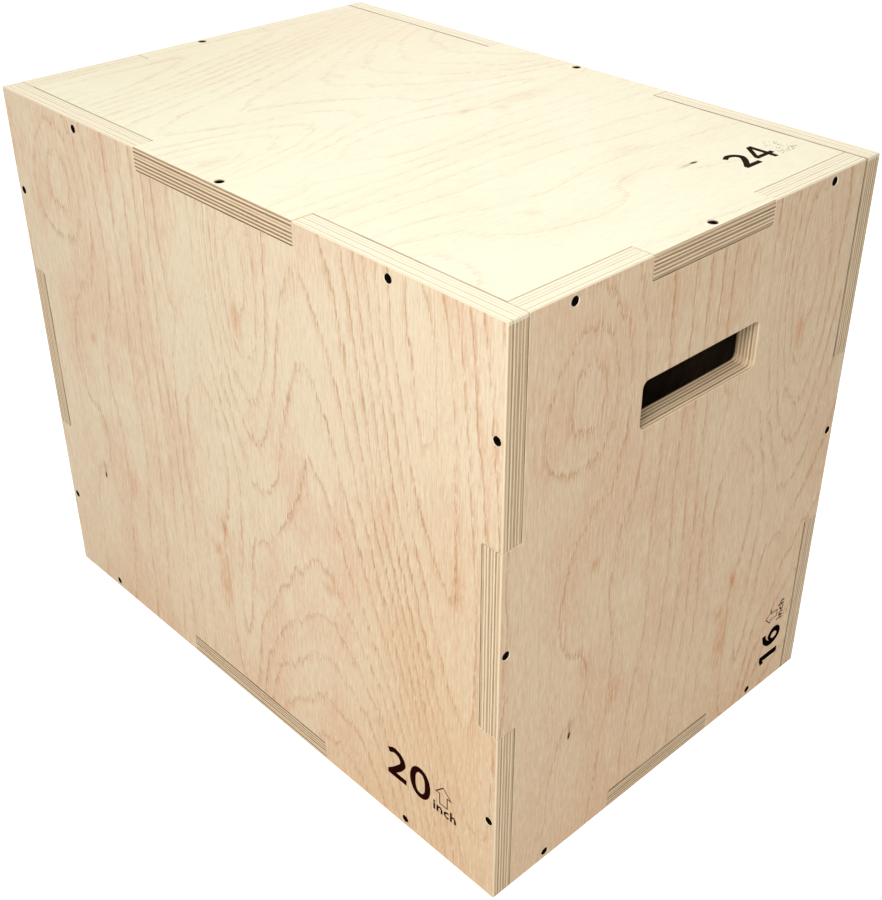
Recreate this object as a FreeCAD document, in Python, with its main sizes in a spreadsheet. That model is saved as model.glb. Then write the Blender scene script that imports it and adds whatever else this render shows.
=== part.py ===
import FreeCAD, Part
import math
import os

import Sketcher

# A plyometric jump box: six plywood panels with finger joints, glued and screwed along all
# twelve edges, and a hand hole through each end. It stands on any of three faces, at 16, 20
# or 24 inches. The origin is at the middle of the bottom face, +X along the length, +Z up.
# Lengths are in millimetres.

DRIVING_SIZES = (
    ("box_length", 609.6, "24 in height when stood on an end"),
    ("box_depth", 406.4, "16 in height when laid on its front or back"),
    ("box_height", 508.0, "20 in height as it stands here"),
    ("panel_thickness", 19.0, "3/4 in birch plywood"),
    ("glue_gap", 0.2, "glue line between two joined faces"),
    ("long_tab_length", 198.0, "top and bottom tabs let into front and back"),
    ("cross_tab_length", 135.0, "top and bottom tabs let into the ends"),
    ("upright_tab_length", 166.5, "end tabs let into front and back"),
    ("finger_radius", 2.5, "rounded lower edges of a tab, as the notch's routed corners"),
    ("edge_ease", 0.8, "sanded bevel on the box's own edges"),
    ("joint_ease", 0.3, "as above, where two panels meet flush"),
    ("hand_hole_length", 134.6, "room for four fingers and a glove"),
    ("hand_hole_height", 39.2, "hand hole, upright"),
    ("hand_hole_radius", 5.5, "hand hole corners"),
    ("hand_hole_drop", 114.5, "top of the box to the middle of the hand hole"),
    ("hand_hole_round", 0.7, "sanded rims of the hand hole"),
    ("screw_diameter", 3.5, "shank"),
    ("screw_head_diameter", 7.0, "countersunk head"),
    ("screw_length", 45.0, "head to point"),
    ("screw_tip_length", 6.0, "tapered point"),
    ("screw_sink", 0.5, "head below the face"),
    ("screw_clearance", 0.1, "drilled hole round the screw"),
    ("recess_length", 3.8, "cross recess, end to end"),
    ("recess_width", 1.0, "cross recess, one arm"),
    ("recess_depth", 1.5, "cross recess"),
    ("drill_overrun", 2.0, "drill above the face it enters"),
    ("screw_inset", 7.0, "screw line to the edge it follows"),
    ("long_top_inset", 9.0, "as above, upper row of front and back"),
    ("long_top_left_reach", 115.0, "front and back, upper row: end of the panel to the screw"),
    ("long_top_right_reach", 107.0, "as above, other end"),
    ("long_bottom_left_reach", 68.5, "front and back, lower row"),
    ("long_bottom_right_reach", 103.0, "as above, other end"),
    ("upright_left_top_reach", 93.0, "front and back, left row"),
    ("upright_left_bottom_reach", 84.5, "as above, other end"),
    ("upright_right_top_reach", 86.0, "front and back, right row"),
    ("upright_right_bottom_reach", 81.5, "as above, other end"),
    ("cross_top_left_reach", 60.0, "ends, upper row"),
    ("cross_top_right_reach", 60.0, "as above, other end"),
    ("cross_bottom_left_reach", 59.0, "ends, lower row"),
    ("cross_bottom_right_reach", 73.0, "as above, other end"),
    ("end_left_tab_reach", 75.5, "ends, left tab: lower end of the tab to the screw"),
    ("end_right_tab_reach", 91.0, "as above, right tab"),
    ("level_left_tab_reach", 67.5, "top and bottom, left tab: near end of the tab to the screw"),
    ("level_right_tab_reach", 70.5, "as above, right tab"),
    ("level_bottom_tab_reach", 105.0, "top and bottom, near tab: left end of the tab to the screw"),
    ("level_top_tab_reach", 100.0, "as above, far tab"),
)

# Formulas that several pieces share
JOINT_DEPTH = "(Sizes.panel_thickness + Sizes.glue_gap)"
SCREW_RADIUS = "Sizes.screw_diameter / 2"
HEAD_RADIUS = "Sizes.screw_head_diameter / 2"
SCREW_NECK = f"-Sizes.screw_sink - {HEAD_RADIUS} + {SCREW_RADIUS}"
SCREW_POINT = "-Sizes.screw_sink - Sizes.screw_length"

# Two points closer than this are the same place
SAME_PLACE = 1e-4

# Each panel is drawn as seen from outside the box, with its outer face at its own z = 0. The
# table gives the middle of that face, the directions of the drawing's right and up, and the
# panels that it meets along its left, right, bottom and top edges.
PANELS = {
    "front": {
        "middle": ("0", "-Sizes.box_depth / 2", "Sizes.box_height / 2"),
        "right": (1, 0, 0),
        "up": (0, 0, 1),
        "neighbours": ("left", "right", "bottom", "top"),
    },
    "back": {
        "middle": ("0", "Sizes.box_depth / 2", "Sizes.box_height / 2"),
        "right": (-1, 0, 0),
        "up": (0, 0, 1),
        "neighbours": ("right", "left", "bottom", "top"),
    },
    "left": {
        "middle": ("-Sizes.box_length / 2", "0", "Sizes.box_height / 2"),
        "right": (0, -1, 0),
        "up": (0, 0, 1),
        "neighbours": ("back", "front", "bottom", "top"),
    },
    "right": {
        "middle": ("Sizes.box_length / 2", "0", "Sizes.box_height / 2"),
        "right": (0, 1, 0),
        "up": (0, 0, 1),
        "neighbours": ("front", "back", "bottom", "top"),
    },
    "top": {
        "middle": ("0", "0", "Sizes.box_height"),
        "right": (1, 0, 0),
        "up": (0, 1, 0),
        "neighbours": ("left", "right", "front", "back"),
    },
    "bottom": {
        "middle": ("0", "0", "0"),
        "right": (1, 0, 0),
        "up": (0, -1, 0),
        "neighbours": ("left", "right", "back", "front"),
    },
}
EDGES = ("left", "right", "bottom", "top")

doc = FreeCAD.newDocument("plyo_box")
sheet = doc.addObject("Spreadsheet::Sheet", "Sizes")
for line, (name, value, meaning) in enumerate(DRIVING_SIZES, start=1):
    sheet.set(f"A{line}", meaning)
    sheet.set(f"B{line}", str(value))
    sheet.setAlias(f"B{line}", name)
doc.recompute()


def measure(formula):
    """The value that a formula on the sheet has now."""
    return float(sheet.evalExpression(formula))


# Sketches


def add_sketch(body, name, role, **offsets):
    """A sketch on one of the body's own origin planes, moved by formulas for x and y."""
    sketch = body.newObject("Sketcher::SketchObject", name)
    sketch.AttachmentSupport = (origin_plane(body, role), "")
    sketch.MapMode = "FlatFace"
    for axis, formula in offsets.items():
        sketch.setExpression(f"AttachmentOffset.Base.{axis}", formula)
    return sketch


def origin_plane(body, role):
    return next(plane for plane in body.Origin.OriginFeatures if plane.Role == role)


def dimension(sketch, kind, places, name, formula):
    """A named dimension that follows a formula on the sheet."""
    index = sketch.addConstraint(Sketcher.Constraint(kind, *places, measure(formula)))
    sketch.renameConstraint(index, name)
    sketch.setExpression(f"Constraints.{name}", formula)


def add_lines(sketch, points):
    """Straight edges from each point to the next, in a closed ring."""
    ring = [FreeCAD.Vector(x, y, 0) for x, y in points]
    for start, end in zip(ring, ring[1:] + ring[:1]):
        sketch.addGeometry(Part.LineSegment(start, end), False)
    for line in range(len(ring)):
        following = (line + 1) % len(ring)
        sketch.addConstraint(Sketcher.Constraint("Coincident", line, 2, following, 1))


def square_up(sketch, level, upright):
    for line in level:
        sketch.addConstraint(Sketcher.Constraint("Horizontal", line))
    for line in upright:
        sketch.addConstraint(Sketcher.Constraint("Vertical", line))


def draw_rectangle(sketch, width, height):
    """A rectangle centred on the sketch's origin."""
    x = measure(width) / 2
    y = measure(height) / 2
    add_lines(sketch, ((-x, -y), (x, -y), (x, y), (-x, y)))
    square_up(sketch, level=(0, 2), upright=(1, 3))
    sketch.addConstraint(Sketcher.Constraint("Symmetric", 0, 1, 1, 2, -1, 1))
    dimension(sketch, "DistanceX", (0, 1, 0, 2), "width", width)
    dimension(sketch, "DistanceY", (1, 1, 1, 2), "height", height)


def add_corner(sketch, middle_x, middle_y, radius, start_angle):
    """A quarter of a circle, from start_angle on."""
    circle = Part.Circle(FreeCAD.Vector(middle_x, middle_y, 0), FreeCAD.Vector(0, 0, 1), radius)
    return sketch.addGeometry(Part.ArcOfCircle(circle, start_angle, start_angle + math.pi / 2), False)


def draw_rounded_rectangle(sketch, width, height, radius):
    """A rectangle with four round corners, centred on the sketch's origin."""
    r = measure(radius)
    x = measure(width) / 2
    y = measure(height) / 2
    sides = (
        ((r - x, -y), (x - r, -y)),
        ((x, r - y), (x, y - r)),
        ((x - r, y), (r - x, y)),
        ((-x, y - r), (-x, r - y)),
    )
    for start, end in sides:
        line = Part.LineSegment(FreeCAD.Vector(*start, 0), FreeCAD.Vector(*end, 0))
        sketch.addGeometry(line, False)
    middles = ((x - r, r - y), (x - r, y - r), (r - x, y - r), (r - x, r - y))
    for side, (middle_x, middle_y) in enumerate(middles):
        corner = add_corner(sketch, middle_x, middle_y, r, (side - 1) * math.pi / 2)
        following = (side + 1) % len(sides)
        sketch.addConstraint(Sketcher.Constraint("Tangent", side, 2, corner, 1))
        sketch.addConstraint(Sketcher.Constraint("Tangent", corner, 2, following, 1))
    first_corner = len(sides)
    for corner in range(first_corner + 1, first_corner + len(middles)):
        sketch.addConstraint(Sketcher.Constraint("Equal", first_corner, corner))
    square_up(sketch, level=(0, 2), upright=(1, 3))
    sketch.addConstraint(Sketcher.Constraint("Symmetric", first_corner, 3, first_corner + 2, 3, -1, 1))
    dimension(sketch, "Radius", (first_corner,), "corner", radius)
    dimension(sketch, "DistanceX", (3, 1, 1, 1), "width", width)
    dimension(sketch, "DistanceY", (0, 1, 2, 2), "height", height)


def draw_finger(sketch, width, thickness, radius):
    """A tab's section: flat on top, along the sketch's x axis, with round lower corners."""
    r = measure(radius)
    x = measure(width) / 2
    y = -measure(thickness)
    sides = (
        ((x, 0), (-x, 0)),
        ((-x, 0), (-x, y + r)),
        ((r - x, y), (x - r, y)),
        ((x, y + r), (x, 0)),
    )
    top, left, bottom, right = range(len(sides))
    for start, end in sides:
        line = Part.LineSegment(FreeCAD.Vector(*start, 0), FreeCAD.Vector(*end, 0))
        sketch.addGeometry(line, False)
    left_corner = add_corner(sketch, r - x, y + r, r, math.pi)
    right_corner = add_corner(sketch, x - r, y + r, r, -math.pi / 2)
    sketch.addConstraint(Sketcher.Constraint("Coincident", top, 2, left, 1))
    sketch.addConstraint(Sketcher.Constraint("Coincident", right, 2, top, 1))
    sketch.addConstraint(Sketcher.Constraint("Tangent", left, 2, left_corner, 1))
    sketch.addConstraint(Sketcher.Constraint("Tangent", left_corner, 2, bottom, 1))
    sketch.addConstraint(Sketcher.Constraint("Tangent", bottom, 2, right_corner, 1))
    sketch.addConstraint(Sketcher.Constraint("Tangent", right_corner, 2, right, 1))
    sketch.addConstraint(Sketcher.Constraint("Equal", left_corner, right_corner))
    square_up(sketch, level=(top, bottom), upright=(left, right))
    sketch.addConstraint(Sketcher.Constraint("Symmetric", top, 1, top, 2, -1, 1))
    dimension(sketch, "Radius", (left_corner,), "corner", radius)
    dimension(sketch, "DistanceX", (top, 2, top, 1), "width", width)
    dimension(sketch, "DistanceY", (bottom, 1, -1, 1), "thickness", thickness)


def draw_profile(sketch, points):
    """A closed outline for turning: its corners follow formulas, or lie on the upright axis."""
    add_lines(sketch, [(measure(x), measure(y)) for x, y in points])
    for corner, (x, y) in enumerate(points):
        if x == "0":
            sketch.addConstraint(Sketcher.Constraint("PointOnObject", corner, 1, -2))
        else:
            dimension(sketch, "DistanceX", (-1, 1, corner, 1), f"x{corner}", x)
        dimension(sketch, "DistanceY", (-1, 1, corner, 1), f"y{corner}", y)


# Features


def add_board(body, outline):
    """The panel's thickness, from its outer face inwards."""
    board = body.newObject("PartDesign::Pad", "board")
    board.Profile = outline
    board.Reversed = True
    board.setExpression("Length", "Sizes.panel_thickness")


def add_tabs(body, name, role, width, reach):
    """A tab at both ends of the board, out to the outer faces of the panels that it enters."""
    section = add_sketch(body, f"{name}_section", role)
    draw_finger(section, width, "Sizes.panel_thickness", "Sizes.finger_radius")
    tabs = body.newObject("PartDesign::Pad", name)
    tabs.Profile = section
    tabs.SideType = "Symmetric"
    tabs.setExpression("Length", reach)


def add_notches(body, name, mirror_role, tab_length, edge_axis, edge_reach):
    """A notch at the middle of two opposite edges, one glue gap larger than its tab all round."""
    opening = add_sketch(body, f"{name}_outline", "XY_Plane", **{edge_axis: edge_reach})
    across = f"{tab_length} + 2 * Sizes.glue_gap"
    deep = f"2 * {JOINT_DEPTH}"
    width, height = (across, deep) if edge_axis == "y" else (deep, across)
    draw_rounded_rectangle(opening, width, height, "Sizes.finger_radius + Sizes.glue_gap")
    notch = body.newObject("PartDesign::Pocket", f"{name}_notch")
    notch.Profile = opening
    notch.Type = "ThroughAll"
    mirrored = body.newObject("PartDesign::Mirrored", f"{name}_notches")
    mirrored.Originals = [notch]
    mirrored.MirrorPlane = (origin_plane(body, mirror_role), [""])
    body.Tip = mirrored


def add_hand_hole(body):
    middle = "Sizes.box_height / 2 - Sizes.hand_hole_drop"
    opening = add_sketch(body, "hand_hole_outline", "XY_Plane", y=middle)
    draw_rounded_rectangle(
        opening, "Sizes.hand_hole_length", "Sizes.hand_hole_height", "Sizes.hand_hole_radius"
    )
    hole = body.newObject("PartDesign::Pocket", "hand_hole")
    hole.Profile = opening
    hole.Type = "ThroughAll"
    doc.recompute()
    rims = body.newObject("PartDesign::Fillet", "hand_hole_rims")
    rims.Base = (hole, edge_names(hole.Shape, is_hand_hole_rim))
    rims.setExpression("Radius", "Sizes.hand_hole_round")


def is_hand_hole_rim(edge):
    """A rim lies in one of the panel's two faces and keeps within the hand hole's outline."""
    bounds = edge.BoundBox
    middle = measure("Sizes.box_height / 2 - Sizes.hand_hole_drop")
    across = max(-bounds.XMin, bounds.XMax)
    up = max(middle - bounds.YMin, bounds.YMax - middle)
    return (
        bounds.ZLength < SAME_PLACE
        and across < measure("Sizes.hand_hole_length / 2") + SAME_PLACE
        and up < measure("Sizes.hand_hole_height / 2") + SAME_PLACE
    )


def edge_names(shape, wanted):
    return [f"Edge{number}" for number, edge in enumerate(shape.Edges, start=1) if wanted(edge)]


def ease_edges(body):
    """Bevel the edges that show: the box's own edges, then those where two panels meet flush."""
    doc.recompute()
    bounds = body.Tip.Shape.BoundBox
    skin = (
        (0, bounds.XMin),
        (0, bounds.XMax),
        (1, bounds.YMin),
        (1, bounds.YMax),
        (2, bounds.ZMax),
    )

    def skins(edge):
        """How many of the panel's outer planes the edge lies in."""
        middle = edge.valueAt((edge.FirstParameter + edge.LastParameter) / 2)
        points = [vertex.Point for vertex in edge.Vertexes] + [middle]
        return sum(all(abs(point[axis] - level) < SAME_PLACE for point in points) for axis, level in skin)

    add_bevel(body, "eased_edges", lambda edge: skins(edge) == 2, "Sizes.edge_ease")
    slanted = [face for face in body.Tip.Shape.Faces if is_slanted(face)]

    def is_joint_edge(edge):
        """An edge in one outer plane, or the end of a first bevel, where it runs into a joint."""
        sides = sum(any(edge.isSame(side) for side in face.Edges) for face in slanted)
        return (sides, skins(edge)) in ((0, 1), (1, 0))

    add_bevel(body, "eased_joints", is_joint_edge, "Sizes.joint_ease")


def is_slanted(face):
    """A flat face that is square to none of the axes."""
    square = 1 - SAME_PLACE
    return face.Surface.TypeId == "Part::GeomPlane" and max(map(abs, face.normalAt(0, 0))) < square


def add_bevel(body, name, wanted, size):
    base = body.Tip
    bevel = body.newObject("PartDesign::Chamfer", name)
    bevel.Base = (base, edge_names(base.Shape, wanted))
    bevel.setExpression("Size", size)
    doc.recompute()


# Panels, before drilling


def add_blank(panel):
    """An empty body in the panel's place on the box."""
    body = doc.addObject("PartDesign::Body", f"{panel}_blank")
    right = FreeCAD.Vector(*PANELS[panel]["right"])
    up = FreeCAD.Vector(*PANELS[panel]["up"])
    body.Placement.Rotation = FreeCAD.Rotation(right, up, right.cross(up), "XYZ")
    for axis, formula in zip("xyz", PANELS[panel]["middle"]):
        body.setExpression(f"Placement.Base.{axis}", formula)
    return body


def make_front_blank(panel):
    """Front or back: full size, and it owns the corners. Notched for the other four panels."""
    body = add_blank(panel)
    outline = add_sketch(body, "outline", "XY_Plane")
    draw_rectangle(outline, "Sizes.box_length", "Sizes.box_height")
    add_board(body, outline)
    add_notches(body, "long", "XZ_Plane", "Sizes.long_tab_length", "y", "Sizes.box_height / 2")
    add_notches(body, "upright", "YZ_Plane", "Sizes.upright_tab_length", "x", "Sizes.box_length / 2")
    ease_edges(body)
    return body


def make_end_blank(panel):
    """Left or right: tabs into front and back, notches for top and bottom, and a hand hole."""
    body = add_blank(panel)
    outline = add_sketch(body, "outline", "XY_Plane")
    draw_rectangle(outline, f"Sizes.box_depth - 2 * {JOINT_DEPTH}", "Sizes.box_height")
    add_board(body, outline)
    add_tabs(body, "upright_tabs", "YZ_Plane", "Sizes.upright_tab_length", "Sizes.box_depth")
    add_notches(body, "cross", "XZ_Plane", "Sizes.cross_tab_length", "y", "Sizes.box_height / 2")
    ease_edges(body)
    add_hand_hole(body)
    return body


def make_level_blank(panel):
    """Top or bottom: lies within the other four panels, with a tab into each."""
    body = add_blank(panel)
    outline = add_sketch(body, "outline", "XY_Plane")
    draw_rectangle(
        outline, f"Sizes.box_length - 2 * {JOINT_DEPTH}", f"Sizes.box_depth - 2 * {JOINT_DEPTH}"
    )
    add_board(body, outline)
    add_tabs(body, "long_tabs", "XZ_Plane", "Sizes.long_tab_length", "Sizes.box_depth")
    add_tabs(body, "cross_tabs", "YZ_Plane", "Sizes.cross_tab_length", "Sizes.box_length")
    ease_edges(body)
    return body


# Screws, and the stepped drill that makes their holes through both panels


def turn_profile(body, points):
    """A solid of revolution about the body's own z axis."""
    profile = add_sketch(body, "profile", "XZ_Plane")
    draw_profile(profile, points)
    turned = body.newObject("PartDesign::Revolution", "turned")
    turned.Profile = profile
    turned.ReferenceAxis = (profile, ["V_Axis"])


def make_screw():
    """A countersunk screw, with the face that it is driven into at z = 0."""
    body = doc.addObject("PartDesign::Body", "screw")
    points = (
        ("0", "-Sizes.screw_sink"),
        (HEAD_RADIUS, "-Sizes.screw_sink"),
        (SCREW_RADIUS, SCREW_NECK),
        (SCREW_RADIUS, f"{SCREW_POINT} + Sizes.screw_tip_length"),
        ("0", SCREW_POINT),
    )
    turn_profile(body, points)
    arms = (
        ("first_arm", "Sizes.recess_length", "Sizes.recess_width"),
        ("second_arm", "Sizes.recess_width", "Sizes.recess_length"),
    )
    for name, width, height in arms:
        outline = add_sketch(body, f"{name}_outline", "XY_Plane")
        draw_rectangle(outline, width, height)
        arm = body.newObject("PartDesign::Pocket", name)
        arm.Profile = outline
        arm.setExpression("Length", "Sizes.screw_sink + Sizes.recess_depth")
    return body


def make_drill():
    """The screw's outline and its clearance, carried up past the face as one cone."""
    body = doc.addObject("PartDesign::Body", "drill")
    bore = f"{SCREW_RADIUS} + Sizes.screw_clearance"
    mouth = f"{HEAD_RADIUS} + Sizes.screw_clearance + Sizes.screw_sink + Sizes.drill_overrun"
    taper = f"Sizes.screw_tip_length / ({SCREW_RADIUS})"
    points = (
        ("0", "Sizes.drill_overrun"),
        (mouth, "Sizes.drill_overrun"),
        (bore, SCREW_NECK),
        (bore, f"{SCREW_POINT} + Sizes.screw_tip_length"),
        ("0", f"{SCREW_POINT} - Sizes.screw_clearance * {taper}"),
    )
    turn_profile(body, points)
    return body


def screw_line(edge, half_width, half_height, inset):
    """How far across or up the line of screws along an edge lies, one inset in from it."""
    return {
        "left": f"{inset} - {half_width}",
        "right": f"{half_width} - {inset}",
        "bottom": f"{inset} - {half_height}",
        "top": f"{half_height} - {inset}",
    }[edge]


def row_places(kind, edge, half_width, half_height):
    """Two screws along an edge, each at its own reach from the nearer corner."""
    reach = f"Sizes.{kind}_{edge}"
    inset = "Sizes.long_top_inset" if (kind, edge) == ("long", "top") else "Sizes.screw_inset"
    line = screw_line(edge, half_width, half_height, inset)
    if edge in ("left", "right"):
        return (
            (line, f"{half_height} - {reach}_top_reach"),
            (line, f"{reach}_bottom_reach - {half_height}"),
        )
    return (
        (f"{reach}_left_reach - {half_width}", line),
        (f"{half_width} - {reach}_right_reach", line),
    )


def tab_place(kind, edge, half_width, half_height, tab_length):
    """One screw in the tab at the middle of an edge, at its own reach from the tab's end."""
    line = screw_line(edge, half_width, half_height, "Sizes.screw_inset")
    along = f"Sizes.{kind}_{edge}_tab_reach - Sizes.{tab_length} / 2"
    return (line, along) if edge in ("left", "right") else (along, line)


def screw_places(panel, edge):
    """Where the screws along one edge of a panel go in, as formulas on its outer face."""
    half_length = "Sizes.box_length / 2"
    half_depth = "Sizes.box_depth / 2"
    half_height = "Sizes.box_height / 2"
    upright = edge in ("left", "right")
    if panel in ("front", "back"):
        return row_places("upright" if upright else "long", edge, half_length, half_height)
    if panel in ("top", "bottom"):
        tab = "cross_tab_length" if upright else "long_tab_length"
        return (tab_place("level", edge, half_length, half_depth, tab),)
    if upright:
        return (tab_place("end", edge, half_depth, half_height, "upright_tab_length"),)
    return row_places("cross", edge, half_depth, half_height)


def add_copy(original, name, panel, place):
    """A copy of a screw or drill that stays at its place on a panel's outer face."""
    across, up = place
    copy = doc.addObject("App::Link", name)
    copy.LinkedObject = original
    shift = f"placement(vector({across}; {up}; 0); rotation(0; 0; 0))"
    copy.setExpression("Placement", f"{panel}_blank.Placement * {shift}")
    return copy


def add_group(name, members):
    group = doc.addObject("Part::Compound", name)
    group.Links = members
    return group


MAKERS = {
    "front": make_front_blank,
    "back": make_front_blank,
    "left": make_end_blank,
    "right": make_end_blank,
    "top": make_level_blank,
    "bottom": make_level_blank,
}
blanks = {panel: make(panel) for panel, make in MAKERS.items()}
screw = make_screw()
drill = make_drill()

nodes = []
drills_through = {panel: [] for panel in PANELS}
for panel, layout in PANELS.items():
    for edge, neighbour in zip(EDGES, layout["neighbours"]):
        places = screw_places(panel, edge)
        row = f"{panel}_to_{neighbour}_screw" + ("s" if len(places) > 1 else "")
        screws = []
        for number, place in enumerate(places, start=1):
            screws.append(add_copy(screw, f"{row}_{number}", panel, place))
            hole = add_copy(drill, f"{row}_{number}_drill", panel, place)
            drills_through[panel].append(hole)
            drills_through[neighbour].append(hole)
        nodes.append(add_group(row, screws))

for panel, blank in blanks.items():
    drilled = doc.addObject("Part::Cut", f"{panel}_panel")
    drilled.Base = blank
    drilled.Tool = add_group(f"{panel}_drills", drills_through[panel])
    nodes.append(drilled)

doc.recompute()

# Nothing is written unless every object is sound and every cut took something away
for item in doc.Objects:
    if "Invalid" in item.State or "Error" in item.State:
        raise RuntimeError(f"{item.Label} failed: {item.State}")
    if item.isDerivedFrom("PartDesign::Pocket") and item.Shape.Volume >= item.BaseFeature.Shape.Volume:
        raise RuntimeError(f"{item.Label} cuts nothing")
    if item.isDerivedFrom("Part::Cut") and item.Shape.Volume >= item.Base.Shape.Volume:
        raise RuntimeError(f"{item.Label} is not drilled")
for node in nodes:
    if node.Shape.isNull() or not node.Shape.isValid():
        raise RuntimeError(f"{node.Label} has no sound shape")

os.makedirs("parts", exist_ok=True)
for node in nodes:
    node.Shape.exportStep(f"parts/{node.Label}.step")
    print(f"{node.Label}: {len(node.Shape.Solids)} solids, {node.Shape.Volume:.1f} cubic mm")
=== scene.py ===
import math

import bmesh
import bpy
from mathutils import Matrix, Vector


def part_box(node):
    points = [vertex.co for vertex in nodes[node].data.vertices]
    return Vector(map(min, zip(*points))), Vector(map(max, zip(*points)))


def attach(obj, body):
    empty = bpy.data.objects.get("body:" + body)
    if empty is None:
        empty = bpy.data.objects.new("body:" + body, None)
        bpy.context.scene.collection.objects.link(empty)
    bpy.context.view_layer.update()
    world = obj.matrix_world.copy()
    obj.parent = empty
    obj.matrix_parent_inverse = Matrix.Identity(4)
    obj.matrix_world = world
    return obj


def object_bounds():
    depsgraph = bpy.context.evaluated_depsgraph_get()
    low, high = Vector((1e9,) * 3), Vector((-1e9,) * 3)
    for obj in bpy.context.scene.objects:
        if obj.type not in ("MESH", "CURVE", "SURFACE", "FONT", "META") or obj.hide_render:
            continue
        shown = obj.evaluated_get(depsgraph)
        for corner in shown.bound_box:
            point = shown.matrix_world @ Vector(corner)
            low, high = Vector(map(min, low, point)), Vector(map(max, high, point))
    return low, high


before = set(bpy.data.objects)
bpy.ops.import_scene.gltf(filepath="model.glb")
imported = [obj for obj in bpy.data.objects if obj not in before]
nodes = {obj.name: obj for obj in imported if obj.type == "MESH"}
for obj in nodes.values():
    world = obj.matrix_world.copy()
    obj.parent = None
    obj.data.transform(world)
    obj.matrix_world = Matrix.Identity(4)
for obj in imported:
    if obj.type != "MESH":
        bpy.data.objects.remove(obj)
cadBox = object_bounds()
mm = 0.001  # the sheet of veneer and the printed marks are laid out in millimetres
print("frame loaded:", len(nodes), "pieces")


def srgb(red, green, blue):
    # a colour as a paint program shows it, turned into the light that a socket takes
    shares = [value / 255 for value in (red, green, blue)]
    light = [s / 12.92 if s <= 0.04045 else ((s + 0.055) / 1.055) ** 2.4 for s in shares]
    return (*light, 1.0)


class Wire:  # a socket of a finish, so that sums on it are written as sums
    def __init__(self, finish, socket):
        self.finish = finish
        self.socket = socket

    def __add__(self, other):
        return self.finish.sum("ADD", self, other)

    def __sub__(self, other):
        return self.finish.sum("SUBTRACT", self, other)

    def __rsub__(self, other):
        return self.finish.sum("SUBTRACT", other, self)

    def __mul__(self, other):
        return self.finish.sum("MULTIPLY", self, other)

    def __truediv__(self, other):
        return self.finish.sum("DIVIDE", self, other)

    def __rtruediv__(self, other):
        return self.finish.sum("DIVIDE", other, self)

    def __pow__(self, other):
        return self.finish.sum("POWER", self, other)

    def __rpow__(self, other):
        return self.finish.sum("POWER", other, self)

    def __gt__(self, other):
        return self.finish.sum("GREATER_THAN", self, other)

    def __lt__(self, other):
        return self.finish.sum("LESS_THAN", self, other)

    __radd__ = __add__
    __rmul__ = __mul__


class Finish:  # a material, or the world, and the nodes that paint it
    def __init__(self, name, home=bpy.data.materials):
        self.material = home.new(name)
        self.material.use_nodes = True
        self.tree = self.material.node_tree
        self.tree.nodes.clear()

    def node(self, kind, settings=None, sockets=None, output=0):
        made = self.tree.nodes.new("ShaderNode" + kind)
        for name, value in (settings or {}).items():
            setattr(made, name, value)
        for name, value in (sockets or {}).items():
            if isinstance(value, Wire):
                self.tree.links.new(value.socket, made.inputs[name])
            else:
                made.inputs[name].default_value = value
        return Wire(self, made.outputs[output]) if made.outputs else made

    def sum(self, operation, *values):
        return self.node("Math", {"operation": operation}, dict(enumerate(values)))

    def ramp(self, value, low, high):  # 0 up to low, 1 from high on, soft between
        ends = {"Value": value, "From Min": low, "From Max": high}
        return self.node("MapRange", {"interpolation_type": "SMOOTHSTEP"}, ends)

    def mix(self, factor, first, second):  # colours: Mix has sockets 6 and 7 for them
        return self.node("Mix", {"data_type": "RGBA"}, {0: factor, 6: first, 7: second}, 2)

    def scaled(self, place, factors):
        return self.node("VectorMath", {"operation": "MULTIPLY"}, {0: place, 1: factors})

    def part(self, vector, axis):
        return self.node("SeparateXYZ", None, {0: vector}, axis)

    def place(self):  # on the object, in mm
        return self.scaled(self.node("TexCoord", None, None, "Object"), (1 / mm, 1 / mm, 1 / mm))

    def mottle(self, place, reach, detail=1.0, roughness=0.5):
        # noise about 0, whose patches have the given reach along each direction of the place:
        # two reaches for a face, three for the depth of the wood
        spread = self.scaled(place, [1 / length for length in reach] + [0] * (3 - len(reach)))
        sockets = {"Vector": spread, "Scale": 1.0, "Detail": detail, "Roughness": roughness}
        return self.node("TexNoise", {"noise_dimensions": f"{len(reach)}D"}, sockets) - 0.5

    def hump(self, place, middle, reach, lean):
        # 1 at the middle, falling to nothing past its reach, and the way from the middle in reaches
        sockets = {
            "Vector": place,
            "Location": (*middle, 0),
            "Rotation": (0, 0, math.radians(lean)),
            "Scale": (*reach, 1),
        }
        away = self.node("Mapping", {"vector_type": "TEXTURE"}, sockets)
        squared = self.node("VectorMath", {"operation": "DOT_PRODUCT"}, {0: away, 1: away}, "Value")
        return math.exp(-1) ** squared, away

    def humps(self, place, rows):  # rows of middle across, along, reach across, along, lean, strength
        for *middle, reachAcross, reachAlong, lean, strength in rows:
            yield self.hump(place, middle, (reachAcross, reachAlong), lean)[0], strength

    def surface(self, sockets):
        shader = self.node("BsdfPrincipled", None, sockets)
        self.node("OutputMaterial", None, {"Surface": shader})
        return self.material


# Plywood: one sheet of rotary cut birch, laid out in mm across and along the grain.
# Every panel is cut from it, and each shows its own stretch.

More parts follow.
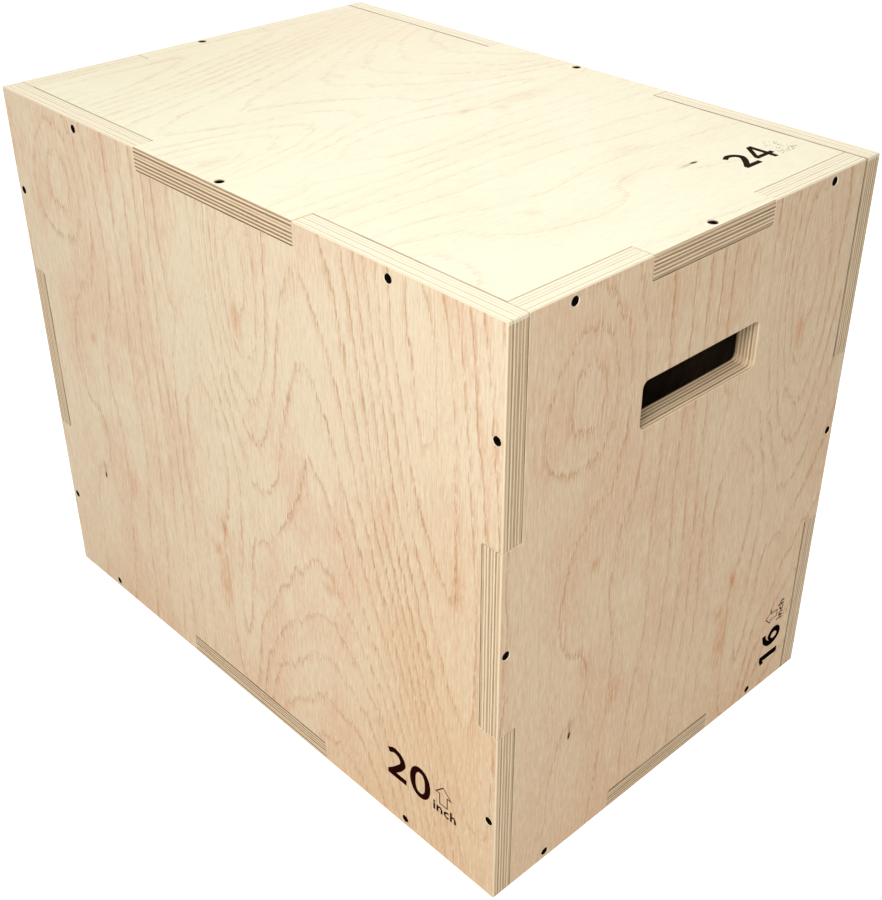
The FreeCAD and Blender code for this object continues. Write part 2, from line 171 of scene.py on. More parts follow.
veneer = {
    "hills": [  # growth rings as a map: middle across, along, reach across, along, lean, height in rings
        (-30, 260, 175, 900, 0, 4.2),  # high ground at the left edge
        (80, 60, 34, 57, 6, 2.8),  # closed eye
        (118, 118, 30, 60, 0, 0.8),  # shoulders that make the left lines wander
        (92, 305, 26, 60, 0, 0.5),
        (70, 235, 20, 40, 0, -0.4),
        (255, 100, 58, 380, 0, -4.6),  # long trough left of the middle
        (258, 130, 30, 60, 0, 1.6),  # flat ground in it, over a small arch
        (280, 250, 26, 55, 0, -0.7),
        (325, 72, 36, 112, -3, 3.6),  # tongue that hangs from the top
        (408, 600, 165, 300, 5, -9.6),  # wide trough whose arches climb the sheet
        (408, 150, 46, 150, 0, -1.7),  # narrows the upper arches
        (302, 450, 26, 120, 0, 2.2),  # steep left ends of the lower ones
        (340, 385, 12, 40, 0, 0.4),
        (560, 280, 62, 620, -7, 6.2),  # ridge of straight lines
        (536, -10, 48, 150, 0, 1.2),  # its broad upper end
    ],
    "quiet": [  # where the lines fade out: middle across, along, reach across, along, lean, strength
        (264, 115, 30, 95, 0, 0.9),
        (322, 50, 26, 75, 0, 0.7),
        (160, 260, 110, 320, 0, 0.33),
        (225, 430, 60, 130, 0, 0.6),
        (50, 420, 60, 130, 0, 0.5),
        (548, 70, 22, 60, 0, 0.6),
        (555, 440, 75, 110, 0, 0.5),
    ],
    "stains": [  # warm patches: middle across, along, reach across, along, lean, strength
        (325, 103, 6, 16, -4, 0.55),
        (95, 207, 5, 6, 30, 0.60),
        (90, 308, 6, 14, 0, 0.35),
        (130, 352, 6, 16, 10, 0.35),
        (279, 325, 4, 12, -8, 0.55),
        (265, 353, 5, 5, 20, 0.60),
        (272, 392, 8, 26, 4, 0.50),
        (425, 306, 12, 5, 0, 0.50),
    ],
    "knots": [  # pin knots: middle across, along, reach across, along, lean
        (77, 366, 1.4, 3.6, 6),
    ],
    "knotEdge": (0.2, 0.6),
    "knotRim": 0.6,  # red round a knot
    "knotTail": {"strength": 0.5, "before": 2, "reach": 2.5},  # red ahead of it, in reaches of the knot
    "warmth": [  # broad warm stretches: middle across, along, reach across, along, lean, strength
        (545, 400, 110, 260, 0, 0.55),
        (330, 560, 420, 150, 0, 0.30),
    ],
    "pale": [  # creamy stretches, listed the same way
        (300, 110, 60, 95, 0, 1.0),
        (430, 120, 60, 60, 0, 0.9),
        (515, 80, 70, 75, 0, 0.8),
        (305, 380, 20, 50, 0, 0.5),
        (235, 465, 50, 40, 0, 0.3),
    ],
    "noise": {  # reach of the patches across and along in mm, detail and roughness
        "broadRing": ((80, 210), 2),
        "smallRing": ((22, 70),),
        "fibre": ((1.1, 34), 2, 0.6),
        "dash": ((1.7, 11), 2, 0.6),
        "fibreEnd": ((1.3, 18),),
        "bundleEnd": ((9, 60),),
        "aside": ((5, 12),),
        "fading": ((30, 70), 2),
        "patch": ((45, 110), 2),
        "streak": ((3.2, 80), 2),
        "hue": ((2.4, 15),),
        "pore": ((0.55, 5), 0),
    },
    "ringWander": {"broadRing": 0.8, "smallRing": 0.25},  # in rings
    "leastSlope": 0.008,  # rings per mm, on flat ground
    "fray": 15.0,  # how far along the grain the fibres of a line end apart, mm
    "bundleFray": 14.0,  # and how far bundles of them do
    "stray": 3.0,  # how far a line wanders aside, mm
    "lineReach": (0.2, 1.3),  # full and gone, mm either side of a line
    "lateWood": 6.0,  # reddens towards a line, mm
    "lateStart": 1.5,  # mm behind a line
    "fading": 0.16,  # noise either way from which lines are faint or whole
    "faintest": 0.5,
    "fibreShown": (-0.3, 0.1),  # the line is in the dark fibres, not in the pale ones
    "patchEdge": 0.17,
    "tint": {"patch": 0.5, "streak": 0.8, "hue": 1.1, "base": 0.1},  # how far each turns cream to peach
    "stainDash": 0.6,  # how far dashes break up a stain
    "fullFibre": 0.3,  # noise at which a fibre is at its palest or darkest
    "fleckShare": 0.29,
    "darkShare": 0.25,
    "lateShare": 0.46,
    "lineShare": 0.47,
    "poreEdge": (0.17, 0.27),
    "pores": {"patch": 0.14, "line": 0.2, "base": 0.04},  # how strongly they show in each
    "relief": {"fibre": 0.5, "pore": 0.3},
    "cream": srgb(237, 219, 188),
    "peach": srgb(231, 194, 163),
    "warm": srgb(226, 188, 142),
    "ringLine": srgb(176, 114, 64),
    "redFibre": srgb(210, 152, 104),
    "darkFibre": srgb(202, 164, 128),
    "fleck": srgb(252, 238, 210),
    "pore": srgb(172, 128, 88),
    "stain": srgb(212, 144, 88),
    "knot": srgb(34, 6, 0),
    "inner": srgb(90, 67, 49),  # painted shade on the inside of the box
    "innerShadeShare": 0.8,
}

plies = {
    "count": 13,
    "crossShare": 0.52,  # of each pair of plies, the part that lies across the grain
    "noise": {  # reach of the patches across, along and through the panel in mm, and detail
        "uneven": ((900, 900, 2.6),),
        "waver": ((60, 60, 5), 2),
        "ripple": ((7, 7, 3),),
        "streak": ((22, 22, 0.4), 2),
        "check": ((0.6, 0.6, 2.2), 2),
        "band": ((40, 40, 0.8), 2),
        "hollow": ((4.0, 4.0, 0.5),),
    },
    "shifts": {"uneven": 1.5, "waver": 1.0, "ripple": 0.25},  # mm that plies differ and wander
    "streaks": {"streak": 1.6, "ownTone": 0.7},  # what darkens long grain
    "checks": {"band": 1.4, "ownTone": 0.9},  # what darkens end grain besides checks
    "glueLine": 0.22,  # mm
    "glueFrom": (0.3, 1.0),  # own tone of the plies between which glue shows
    "glueBand": 1.5,
    "jointBand": 1.5,
    "jointShare": 0.85,
    "hollowEdge": (0.27, 0.33),
    "hollowShare": 0.7,
    "longGrain": srgb(246, 227, 193),
    "longStreak": srgb(226, 200, 166),
    "endGrain": srgb(214, 186, 149),
    "endCheck": srgb(152, 120, 88),
    "glue": srgb(118, 84, 56),
    "jointLine": (1.8, 0.6),  # painted shade where the next panel meets the inner edge: from, to, mm
    "joint": srgb(104, 72, 30),
    "hollow": srgb(70, 50, 36),
    # painted highlight on the upward upper ends of standing panels, within its reach
    "upperHighlightColour": srgb(250, 244, 218),
    "upperHighlightReach": 3.0,  # mm from the upper end
}

# What faces and edges share. Upright means 1 on a face and 0 on an edge.
panelSurface = {
    "faceFrom": 0.86,  # upright
    "bevelEdge": (0.2, 0.5),  # upright, of the sanded bevel between an edge and the outer face, where highlight and shade are painted
    "bevelShare": 0.65,
    "bumpStrength": 0.35,
    "bumpDepth": 0.15,  # mm
    "roughness": 0.6,
    "reliefGloss": 0.1,  # raised grain is smoother by this
    "specular": 0.22,
}

# Each panel: the sheet's directions on it, where its corner lies on the sheet, the tone of its piece
# and the share of that tone (painted shade on the right panel, painted highlight on the top), how far
# painted highlight washes out the figure, how pale its upper end is painted as highlight and how much of
# the painted joint shade that leaves there, how dark its end grain is and the colour painted on its bevels
# as highlight (standing) and shade (lying).
# standing panels: upper ends and bevels painted pale as highlight from above
standing = {"lightWashout": 0.0, "upperHighlightShare": 0.62, "endDark": -0.05, "bevel": srgb(240, 222, 190)}
# lying panels: bevels painted dark as shade along the joints
lying = {"lightWashout": 0.0, "upperHighlightShare": 0.0, "upperJointShade": 1.0, "endDark": 0.25, "bevel": srgb(178, 150, 116)}
panelLays = {
    "front_panel": {
        **standing, "across": (1, 0, 0), "along": (0, 0, -1), "corner": (0, 0),
        "tone": srgb(236, 206, 166), "share": 0.0, "upperJointShade": 0.6, "endDark": -0.1,
    },
    # right panel: its darker, warmer tone and negative washout are painted shade
    "right_panel": {
        **standing, "across": (0, 1, 0), "along": (0, 0, -1), "corner": (-3, -21),
        "tone": srgb(224, 183, 140), "share": 0.35, "upperJointShade": 0.15, "lightWashout": -0.12,
    },
    # top panel: its pale tone and washed-out figure are painted highlight
    "top_panel": {
        **lying, "across": (-1, 0, 0), "along": (0, 1, 0), "corner": (-8, 80),
        "tone": srgb(240, 242, 216), "share": 0.7, "lightWashout": 0.6,
    },
    "back_panel": {
        **standing, "across": (1, 0, 0), "along": (0, 0, 1), "corner": (40, 25),
        "tone": srgb(240, 224, 192), "share": 0.2, "upperJointShade": 1.0,
    },
    "left_panel": {
        **standing, "across": (0, 1, 0), "along": (0, 0, 1), "corner": (190, 10),
        "tone": srgb(230, 196, 154), "share": 0.15, "upperJointShade": 0.1,
    },
    "bottom_panel": {
        **lying, "across": (1, 0, 0), "along": (0, 1, 0), "corner": (12, 40),
        "tone": srgb(236, 212, 176), "share": 0.1,
    },
}


def layOnSheet(finish, panel, lay):
    # the place on the sheet in mm: across, along and down from the outer face, with the normal beside it
    across, along = Vector(lay["across"]), Vector(lay["along"])
    axes = (across, along, across.cross(along))
    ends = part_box(panel)
    starts = [min(axis.dot(end) for end in ends) for axis in axes]
    corner = (*lay["corner"], 0)
    turn = Matrix(axes).to_euler()
    sockets = {
        "Vector": finish.node("TexCoord", None, None, "Object"),
        "Location": [place - start / mm for place, start in zip(corner, starts)],
        "Rotation": turn,
        "Scale": (1 / mm, 1 / mm, 1 / mm),
    }
    place = finish.node("Mapping", {"vector_type": "POINT"}, sockets)
    normal = {"Vector": finish.node("TexCoord", None, None, "Normal"), "Rotation": turn}
    return place, finish.node("Mapping", {"vector_type": "VECTOR"}, normal)


def growthLines(finish, noise, frayed):
    # the map's height, and how steep it is, give every line the same width on the sheet
    wander = veneer["ringWander"]
    rings = noise["broadRing"] * wander["broadRing"] + noise["smallRing"] * wander["smallRing"]
    slope = (0, 0, 0)
    for *middle, reachAcross, reachAlong, lean, height in veneer["hills"]:
        hill, away = finish.hump(frayed, middle, (reachAcross, reachAlong), lean)
        hill *= height
        rings += hill
        fall = finish.scaled(away, (2 / reachAcross, 2 / reachAlong, 0))
        slope = finish.node("VectorMath", {"operation": "MULTIPLY_ADD"}, {0: fall, 1: hill, 2: slope})
    steep = finish.node("VectorMath", {"operation": "LENGTH"}, {0: slope}, "Value") + veneer["leastSlope"]
    ring = finish.sum("FRACT", rings)
    before = (1 - ring) / steep  # mm still to go to the next line
    behind = ring / steep
    line = 1 - finish.ramp(finish.sum("MINIMUM", before, behind), *veneer["lineReach"])
    late = 1 - finish.ramp(before, 0.0, veneer["lateWood"])
    return line, late * finish.ramp(behind, 0.0, veneer["lateStart"])


def pinKnots(finish, flat, colour):
    ahead = veneer["knotTail"]
    for across, along, reachAcross, reachAlong, lean in veneer["knots"]:
        knot, away = finish.hump(flat, (across, along), (reachAcross, reachAlong), lean)
        tailMiddle = (across, along - reachAlong * ahead["before"])
        tail, away = finish.hump(flat, tailMiddle, (reachAcross, reachAlong * ahead["reach"]), 0)
        red = tail * ahead["strength"] + knot * veneer["knotRim"]
        colour = finish.mix(red, colour, veneer["ringLine"])
        colour = finish.mix(finish.ramp(knot, *veneer["knotEdge"]), colour, veneer["knot"])
    return colour


def faceVeneer(finish, place, lay):
    flat = finish.scaled(place, (1, 1, 0))
    noise = {name: finish.mottle(flat, *values) for name, values in veneer["noise"].items()}
    fibres = noise["fibre"] + noise["dash"]
    # how fully the figure shows: the top's washout is painted highlight, the right's negative washout
    # painted shade
    unwashedFigure = 1 - lay["lightWashout"]
    # a line is drawn by fibres that each stop at their own place along the grain
    stops = noise["fibreEnd"] * veneer["fray"] + noise["bundleEnd"] * veneer["bundleFray"]
    shift = finish.node("CombineXYZ", None, {"X": noise["aside"] * veneer["stray"], "Y": stops})
    frayed = finish.node("VectorMath", {"operation": "ADD"}, {0: flat, 1: shift})
    line, late = growthLines(finish, noise, frayed)
    faintest = veneer["faintest"]
    shown = finish.ramp(noise["fading"], -veneer["fading"], veneer["fading"]) * (1 - faintest) + faintest
    for quiet, strength in finish.humps(flat, veneer["quiet"]):
        shown *= 1 - quiet * strength
    shown *= finish.ramp(fibres, *veneer["fibreShown"])
    shown *= unwashedFigure

    patches = finish.ramp(noise["patch"], -veneer["patchEdge"], veneer["patchEdge"])
    turns = veneer["tint"]
    tint = patches * turns["patch"] + noise["streak"] * turns["streak"] + noise["hue"] * turns["hue"]
    tint += turns["base"]
    for pale, strength in finish.humps(flat, veneer["pale"]):
        tint -= pale * strength
    colour = finish.mix(tint, veneer["cream"], veneer["peach"])
    colour = finish.mix(lay["share"], colour, lay["tone"])
    for warmth, strength in finish.humps(flat, veneer["warmth"]):
        colour = finish.mix(warmth * (strength * unwashedFigure), colour, veneer["warm"])
    for stain, strength in finish.humps(frayed, veneer["stains"]):
        stain *= noise["fibre"] + noise["dash"] * veneer["stainDash"] + strength
        colour = finish.mix(stain * unwashedFigure, colour, veneer["stain"])
    flecks = finish.ramp(fibres, 0.0, -veneer["fullFibre"]) * veneer["fleckShare"]
    colour = finish.mix(flecks, colour, veneer["fleck"])
    darkFibres = finish.ramp(fibres, 0.0, veneer["fullFibre"]) * (veneer["darkShare"] * unwashedFigure)
    colour = finish.mix(darkFibres, colour, veneer["darkFibre"])
    colour = finish.mix(late * shown * veneer["lateShare"], colour, veneer["redFibre"])
    colour = finish.mix(line * shown * veneer["lineShare"], colour, veneer["ringLine"])
    pores = finish.ramp(noise["pore"], *veneer["poreEdge"])
    crowds = veneer["pores"]
    crowding = (patches * crowds["patch"] + crowds["base"] + line * crowds["line"]) * unwashedFigure
    colour = finish.mix(pores * crowding, colour, veneer["pore"])
    colour = pinKnots(finish, flat, colour)
    return colour, noise["fibre"] * veneer["relief"]["fibre"] - pores * veneer["relief"]["pore"]


def plyEdge(finish, place, normal, thickness, inUpperHighlight, lay):
    noise = {name: finish.mottle(place, *values) for name, values in plies["noise"].items()}
    depth = finish.part(place, 2)
    shifted = depth
    for name, reach in plies["shifts"].items():
        shifted += noise[name] * reach
    pairThickness = thickness * 2 / plies["count"]
    pairs = shifted / pairThickness
    inPair = finish.sum("FRACT", pairs)
    crossPly = inPair > 1 - plies["crossShare"]
    number = (pairs - inPair) * 2 + crossPly
    # long plies show end grain where the edge ends the grain, cross plies where it runs along it
    alongEnd = finish.part(normal, 1) ** 2
    acrossEnd = finish.part(normal, 0) ** 2
    notNothing = 0.001  # on a face both are 0
    endGrain = (alongEnd + crossPly * (acrossEnd - alongEnd)) / (alongEnd + acrossEnd + notNothing)
    # each ply comes from its own log
    ownTone = finish.node("TexWhiteNoise", {"noise_dimensions": "1D"}, {"W": number})
    streaks, checks = plies["streaks"], plies["checks"]
    streaked = noise["streak"] * streaks["streak"] + ownTone * streaks["ownTone"]
    pale = finish.mix(streaked, plies["longGrain"], plies["longStreak"])
    checked = noise["check"] + noise["band"] * checks["band"] + ownTone * checks["ownTone"] + lay["endDark"]
    dark = finish.mix(checked, plies["endGrain"], plies["endCheck"])
    colour = finish.mix(endGrain, pale, dark)
    # painted highlight on the upper end
    colour = finish.mix(inUpperHighlight * lay["upperHighlightShare"], colour, plies["upperHighlightColour"])
    fromSeam = finish.sum("ABSOLUTE", inPair - (1 - plies["crossShare"])) * pairThickness
    seam = 1 - finish.ramp(fromSeam, 0.0, plies["glueLine"])
    glued = finish.ramp(ownTone, *plies["glueFrom"]) + noise["band"] * plies["glueBand"]
    colour = finish.mix(seam * glued, colour, plies["glue"])
    # painted shade along the joint with the next panel, less of it where the upper end is highlighted
    joint = finish.ramp(thickness - depth, *plies["jointLine"])
    joint *= noise["band"] * plies["jointBand"] + plies["jointShare"]
    joint *= 1 - inUpperHighlight * (1 - lay["upperJointShade"])
    colour = finish.mix(joint, colour, plies["joint"])
    hollow = finish.ramp(noise["hollow"], *plies["hollowEdge"]) * endGrain
    colour = finish.mix(hollow * plies["hollowShare"], colour, plies["hollow"])
    return colour, (noise["check"] - hollow) * endGrain


def fromUpperEnd(finish, panel, place, lay):
    # mm down from the upper end of a standing panel
    low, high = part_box(panel)
    fallsAlong = lay["along"][2] < 0
    upper = lay["corner"][1] + (0 if fallsAlong else (high.z - low.z) / mm)
    return finish.sum("ABSOLUTE", finish.part(place, 1) - upper)


def paintPanel(panel, lay):
    finish = Finish(panel + "_birch")
    place, normal = layOnSheet(finish, panel, lay)
    low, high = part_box(panel)
    thickness = min(high - low) / mm
    outward = finish.part(normal, 2)  # -1 on the outer face, 1 on the inner one
    upright = finish.sum("ABSOLUTE", outward)
    facing = upright > panelSurface["faceFrom"]
    faceColour, faceRelief = faceVeneer(finish, place, lay)
    # painted shade on the inner face
    insideShade = (outward > panelSurface["faceFrom"]) * veneer["innerShadeShare"]
    faceColour = finish.mix(insideShade, faceColour, veneer["inner"])
    # where the painted highlight on the upper end reaches
    inUpperHighlight = fromUpperEnd(finish, panel, place, lay) < plies["upperHighlightReach"]
    edgeColour, edgeRelief = plyEdge(finish, place, normal, thickness, inUpperHighlight, lay)
    # painted highlight or shade on the bevel, as the panel's lay gives it
    bevel = finish.ramp(upright, *panelSurface["bevelEdge"]) * (finish.part(place, 2) < thickness / 2)
    edgeColour = finish.mix(bevel * panelSurface["bevelShare"], edgeColour, lay["bevel"])
    relief = edgeRelief + facing * (faceRelief - edgeRelief)
    bump = {
        "Strength": panelSurface["bumpStrength"],
        "Distance": panelSurface["bumpDepth"] * mm,
        "Height": relief,
    }
    material = finish.surface({
        "Base Color": finish.mix(facing, edgeColour, faceColour),
        "Roughness": panelSurface["roughness"] - relief * panelSurface["reliefGloss"],
        "Normal": finish.node("Bump", None, bump),
        "Specular IOR Level": panelSurface["specular"],
    })
    nodes[panel].data.materials.clear()
    nodes[panel].data.materials.append(material)


for panel, lay in panelLays.items():
    paintPanel(panel, lay)
print("panels painted:", ", ".join(panelLays))


# Screws: black phosphate steel, bared a little on the edges of the recess.

screwSteel = {
    "black": srgb(6, 6, 6),
    "grey": srgb(19, 18, 17),
    "speckle": ((0.25, 0.25, 0.25), 3),  # reach in mm, detail
    "wear": ((1.4, 1.4, 1.4), 2),
    "wearEdge": (0.05, 0.3),
    "wearShare": 0.6,
    "speckleShare": 0.5,
    "bumpStrength": 0.3,
    "bumpDepth": 0.05,  # mm
    "roughness": 0.75,
    "speckleRoughness": 0.3,
    "specular": 0.015,
}


def blackSteel():
    finish = Finish("black_screw_steel")
    place = finish.place()
    speckle = finish.mottle(place, *screwSteel["speckle"])
    wear = finish.ramp(finish.mottle(place, *screwSteel["wear"]), *screwSteel["wearEdge"])
    bared = wear * screwSteel["wearShare"] + speckle * screwSteel["speckleShare"]
    bump = {
        "Strength": screwSteel["bumpStrength"],
        "Distance": screwSteel["bumpDepth"] * mm,
        "Height": speckle,
    }
    return finish.surface({
        "Base Color": finish.mix(bared, screwSteel["black"], screwSteel["grey"]),
        "Metallic": 0.0,
        "Roughness": speckle * screwSteel["speckleRoughness"] + screwSteel["roughness"],
        "Normal": finish.node("Bump", None, bump),
        "Specular IOR Level": screwSteel["specular"],
    })


steel = blackSteel()
screwRows = [name for name in nodes if "_screw" in name]
for name in screwRows:
    nodes[name].data.materials.clear()
    nodes[name].data.materials.append(steel)
print("screws painted:", len(screwRows), "rows")


# Printed marks: the height of the box with that face up, an arrow and the unit.
# Drawn in mm from the left end of the base line, digits 32 high. A point is (across, up, bend),
# where bend is True on a round stretch and False at a corner.

markDrawing = {
    "digits": {
        "0": [
            [(0, 16, True), (12, 32.6, True), (24, 16, True), (12, -0.6, True)],
            [(6.5, 16, True), (12, 27, True), (17.4, 16, True), (12, 4.6, True)],
        ],
        "1": [
            [(4.8, 0, False), (4.8, 25.0, False), (0.8, 22.8, False), (-0.5, 28.6, False),
             (6.6, 32, False), (12.5, 32, False), (12.5, 0, False)],
        ],
        "2": [
            [(0, 0, False), (0, 4.4, False), (11.4, 15.4, True), (15.2, 21.8, True), (10, 26.7, True),
             (2.8, 24.4, False), (0.6, 29, False), (11, 32.4, True), (21.7, 22.8, True),
             (18.2, 13.8, True), (10.2, 5.6, False), (22.5, 5.6, False), (22.5, 0, False)],
        ],
        "4": [
            [(16.3, 0, False), (16.3, 7.5, False), (0.3, 7.5, False), (0.3, 11.8, False),
             (15.2, 32, False), (21.7, 32, False), (21.7, 12.6, False), (26, 12.6, False),
             (26, 7.5, False), (21.7, 7.5, False), (21.7, 0, False)],
            [(16.3, 12.6, False), (16.3, 25.8, False), (6.4, 12.6, False)],
        ],
        "6": [
            [(19.6, 26.6, False), (11.6, 23.8, True), (7.2, 18.2, False), (13, 21.4, True),
             (23.3, 10.6, True), (11.5, -1, True), (-0.4, 12.5, True), (6.0, 27.5, True),
             (18.8, 32.8, False)],
            [(7.2, 10.6, True), (11.6, 15.6, True), (15.8, 10.6, True), (11.5, 5.2, True)],
        ],
    },
    "secondDigit": {"20": 27.0, "16": 22.6, "24": 25.4},  # where it starts
    "arrow": [
        (66, 31.5), (56.4, 21.6), (61.3, 21.6), (61.3, 10.4), (70.8, 10.4), (70.8, 21.6), (75.8, 21.6),
    ],
    "arrowLine": 1.0,
    "unit": [
        [(54.3, 0, False), (54.3, 6.8, False), (56.4, 6.8, False), (56.4, 0, False)],
        [(54.15, 8.8, True), (55.35, 10, True), (56.55, 8.8, True), (55.35, 7.6, True)],
        [(58, 0, False), (58, 6.8, False), (59.9, 6.8, False), (60, 5.9, False), (62.3, 7, True),
         (64.9, 4.2, False), (64.9, 0, False), (62.8, 0, False), (62.8, 3.9, False), (61.6, 5.2, True),
         (60.1, 3.7, False), (60.1, 0, False)],
        [(72.2, 0.5, False), (69.9, -0.2, True), (66.2, 3.4, True), (70, 7, True), (72.2, 6.5, False),
         (71.7, 4.8, False), (70.1, 5.1, True), (68.4, 3.4, True), (70.1, 1.6, True), (71.8, 2, False)],
        [(73.5, 0, False), (73.5, 10.2, False), (75.6, 10.2, False), (75.6, 6.1, False), (77.7, 7, True),
         (80.2, 4.2, False), (80.2, 0, False), (78.1, 0, False), (78.1, 3.9, False), (76.9, 5.2, True),
         (75.6, 3.7, False), (75.6, 0, False)],
    ],
    "curveSteps": 10,
    "inkThickness": 0.04,
    "inkLift": 0.01,
    "weld": 0.002,  # mm within which the points of a drawing are one
}

inkLook = {
    "gone": ((1.1, 1.1, 2.6), 3, 0.6),  # reach in mm, detail, roughness
    "goneEdge": (0.30, 0.42),  # noise between bare wood and ink, with no ink left
    "goneSpan": 0.6,  # how far full ink lowers it
    "speckle": ((0.5, 0.5, 1.4), 2),
    "worn": srgb(96, 70, 52),
    "wornShare": 0.01,
    "speckleShare": 0.2,
    "roughness": 0.7,
    "specular": 0.0,
}

# Each mark: number, panel, directions of reading and up, start from the panel's edges in mm, scale, colour,
# the share of the ink that is left on digits and unit, and how far the unit is printed on from its place.
marks = {
    "front_height_mark": {
        "number": "20", "panel": "front_panel", "reading": (1, 0, 0), "up": (0, 0, 1),
        "start": (487.2, 48.0), "scale": 1.0, "ink": srgb(38, 9, 8),
        "digitsLeft": 0.98, "unitLeft": 0.96, "unitShift": 0.0,
    },
    "right_height_mark": {
        "number": "16", "panel": "right_panel", "reading": (0, 0, 1), "up": (0, -1, 0),
        "start": (25.8, 32.4), "scale": 0.85, "ink": srgb(3, 2, 2),
        "digitsLeft": 0.98, "unitLeft": 0.98, "unitShift": -1.2,
    },
    "top_height_mark": {
        "number": "24", "panel": "top_panel", "reading": (0, 1, 0), "up": (-1, 0, 0),
        "start": (306.4, 50.1), "scale": 0.83, "ink": srgb(48, 33, 25),
        "digitsLeft": 0.95, "unitLeft": 0.45, "unitShift": 0.0,
    },
}


def inkPrint(name, colour, left):
    # ink on bare wood: it has gone first where the grain stands up
    finish = Finish(name + "_ink")
    place = finish.place()
    edge = [end - inkLook["goneSpan"] * left for end in inkLook["goneEdge"]]
    speckle = finish.mottle(place, *inkLook["speckle"]) * inkLook["speckleShare"]
    return finish.surface({
        "Base Color": finish.mix(speckle + inkLook["wornShare"], colour, inkLook["worn"]),
        "Roughness": speckle + inkLook["roughness"],
        "Alpha": finish.ramp(finish.mottle(place, *inkLook["gone"]), *edge),
        "Specular IOR Level": inkLook["specular"],
    })


def insetOutline(points, width):
    # the same outline moved inwards, where the points run counter-clockwise
    moved = []
    for before, here, after in zip(points[-1:] + points[:-1], points, points[1:] + points[:1]):
        sides = [(Vector(b) - Vector(a)).normalized() for a, b in ((before, here), (here, after))]
        inward = [Vector((-side.y, side.x)) for side in sides]
        split = (inward[0] + inward[1]).normalized()
        moved.append(Vector(here) + split * width / split.dot(inward[0]))
    return [tuple(point) for point in moved]


def drawOutlines(name, outlines):
    curve = bpy.data.curves.new(name, "CURVE")
    curve.dimensions, curve.fill_mode = "2D", "BOTH"
    curve.resolution_u = markDrawing["curveSteps"]
    for outline in outlines:
        spline = curve.splines.new("BEZIER")
        spline.bezier_points.add(len(outline) - 1)
        spline.use_cyclic_u = True
        for point, (across, up, bend) in zip(spline.bezier_points, outline):
            point.co = (across, up, 0)
            point.handle_left_type = point.handle_right_type = "AUTO" if bend else "VECTOR"
    return curve


def printOn(name, mark, drawings, left):
    # joins flat drawings, each with where it starts, into one thin piece of ink on the panel's face
    reading, up = Vector(mark["reading"]), Vector(mark["up"])
    outward = reading.cross(up)
    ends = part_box(mark["panel"])
    start = [min(axis.dot(end) for end in ends) for axis in (reading, up)]
    face = max(outward.dot(end) for end in ends)
    rise = (markDrawing["inkLift"] + markDrawing["inkThickness"] / 2) * mm
    corner = outward * (face + rise)
    for axis, edge, place in zip((reading, up), start, mark["start"]):
        corner += axis * (edge + place * mm)
    toFace = Matrix.Translation(corner) @ Matrix((reading, up, outward)).transposed().to_4x4()
    toFace = toFace @ Matrix.Scale(mark["scale"] * mm, 4)
    joined = bmesh.new()
    for curve, begins in drawings:
        curve.extrude = markDrawing["inkThickness"] / 2 / mark["scale"]
        drawn = bpy.data.objects.new(curve.name, curve)
        bpy.context.scene.collection.objects.link(drawn)
        drawn.matrix_world = toFace @ Matrix.Translation((begins, 0, 0))
        bpy.context.view_layer.update()
        shown = drawn.evaluated_get(bpy.context.evaluated_depsgraph_get())
        solid = bpy.data.meshes.new_from_object(shown)
        solid.transform(drawn.matrix_world)
        joined.from_mesh(solid)
        bpy.data.objects.remove(drawn)
    bmesh.ops.remove_doubles(joined, verts=joined.verts, dist=markDrawing["weld"] * mm)
    bmesh.ops.recalc_face_normals(joined, faces=joined.faces)
    mesh = bpy.data.meshes.new(name)
    joined.to_mesh(mesh)
    piece = bpy.data.objects.new(name, mesh)
    bpy.context.scene.collection.objects.link(piece)
    mesh.materials.append(inkPrint(name, mark["ink"], left))
    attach(piece, "root")


def printMark(name, mark):
    first, second = mark["number"]
    digits = markDrawing["digits"]
    number = [
        (drawOutlines(name + "_first", digits[first]), 0),
        (drawOutlines(name + "_second", digits[second]), markDrawing["secondDigit"][mark["number"]]),
    ]
    printOn(name, mark, number, mark["digitsLeft"])
    arrow = markDrawing["arrow"]
    inner = insetOutline(arrow, markDrawing["arrowLine"])
    rings = [[(*point, False) for point in outline] for outline in (arrow, inner)]
    unit = drawOutlines(name + "_unit", rings + markDrawing["unit"])
    printOn(name.replace("height", "unit"), mark, [(unit, mark["unitShift"])], mark["unitLeft"])


for name, mark in marks.items():
    printMark(name, mark)
print("marks printed:", ", ".join(marks))


# Stage: a pale floor that runs out to white, and three wide soft lamps: overhead, beside the camera
# and, weaker, behind the box.

stage = {
    "floorSize": 12.0,
    "floorDrop": 0.0002,  # keeps the floor from lying in the bottom face
    "floorColour": srgb(238, 238, 236),
    "floorGlow": 0.86,  # what the camera sees of the floor besides its shadow
    "floorShade": srgb(188, 188, 188),
    "white": srgb(255, 255, 255),
    "skyLight": 0.26,
}
lamps = {
    "overhead": {"place": (-0.33, 0.58, 2.15), "size": 1.6, "power": 13.8},
    "beside_camera": {"place": (0.85, -1.22, 1.48), "size": 1.0, "power": 26.0},
    "behind": {"place": (-1.4, 1.6, 1.3), "size": 1.4, "power": 13.0},
}


def seenDirectly(finish):
    # rays that show the backdrop as it is: from the camera, a gloss or a pane
    names = ("Is Camera Ray", "Is Glossy Ray", "Is Transmission Ray")
    first, second, third = [finish.node("LightPath", None, None, name) for name in names]
    return finish.sum("MAXIMUM", finish.sum("MAXIMUM", first, second), third)


def floorPaint():
    finish = Finish("pale_floor")
    plain = finish.node("BsdfDiffuse", None, {"Color": stage["floorColour"]})
    shade = finish.node("BsdfDiffuse", None, {"Color": stage["floorShade"]})
    glow = finish.node("Emission", None, {"Color": stage["white"], "Strength": stage["floorGlow"]})
    white = finish.node("AddShader", None, {0: glow, 1: shade})
    shown = finish.node("MixShader", None, {0: seenDirectly(finish), 1: plain, 2: white})
    finish.node("OutputMaterial", None, {"Surface": shown})
    return finish.material


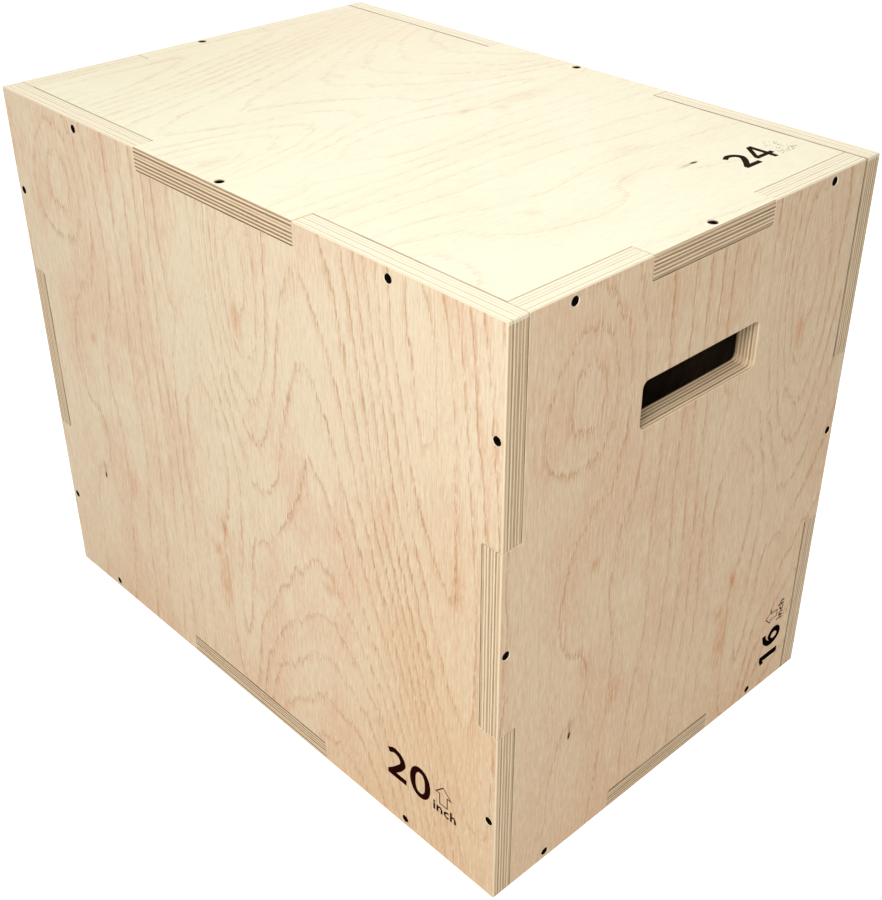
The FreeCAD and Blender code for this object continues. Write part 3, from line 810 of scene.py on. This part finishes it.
half = stage["floorSize"] / 2
floorMesh = bpy.data.meshes.new("floor")
corners = [(-half, -half, 0), (half, -half, 0), (half, half, 0), (-half, half, 0)]
floorMesh.from_pydata(corners, [], [(0, 1, 2, 3)])
floorMesh.materials.append(floorPaint())
floor = bpy.data.objects.new("floor", floorMesh)
floor.location.z = cadBox[0].z - stage["floorDrop"]
bpy.context.scene.collection.objects.link(floor)

middle = (cadBox[0] + cadBox[1]) / 2
for name, lamp in lamps.items():
    light = bpy.data.lights.new(name, "AREA")
    light.size, light.energy = lamp["size"], lamp["power"]
    holder = bpy.data.objects.new(name, light)
    holder.location = lamp["place"]
    holder.rotation_euler = (middle - Vector(lamp["place"])).to_track_quat("-Z", "Y").to_euler()
    bpy.context.scene.collection.objects.link(holder)

sky = Finish("sky", bpy.data.worlds)
daylight = sky.node("Background", None, {"Color": stage["white"], "Strength": stage["skyLight"]})
backdrop = sky.node("Background", None, {"Color": stage["white"], "Strength": 1.0})
shownSky = sky.node("MixShader", None, {0: seenDirectly(sky), 1: daylight, 2: backdrop})
sky.node("OutputWorld", None, {"Surface": shownSky})
bpy.context.scene.world = sky.material
print("stage set:", ", ".join(lamps))


# Camera: where the photograph was taken from, with its off-centre crop.

camera = {
    "place": (0.7921, -0.7146, 0.8738),
    "azimuth": 46.40,
    "elevation": 32.02,
    "lens": 54.08,
    "shift": (-0.0092, -0.0206),
    "clip": (0.01, 100),
}


def setCamera():
    eye = bpy.data.cameras.new("camera")
    eye.lens = camera["lens"]
    eye.shift_x, eye.shift_y = camera["shift"]
    eye.clip_start, eye.clip_end = camera["clip"]
    holder = bpy.data.objects.new("camera", eye)
    turn, rise = math.radians(camera["azimuth"]), math.radians(camera["elevation"])
    back = Vector((math.sin(turn) * math.cos(rise), -math.cos(turn) * math.cos(rise), math.sin(rise)))
    holder.location = camera["place"]
    holder.rotation_euler = (-back).to_track_quat("-Z", "Y").to_euler()
    bpy.context.scene.collection.objects.link(holder)
    bpy.context.scene.camera = holder


setCamera()
bpy.context.scene.view_settings.view_transform = "Standard"
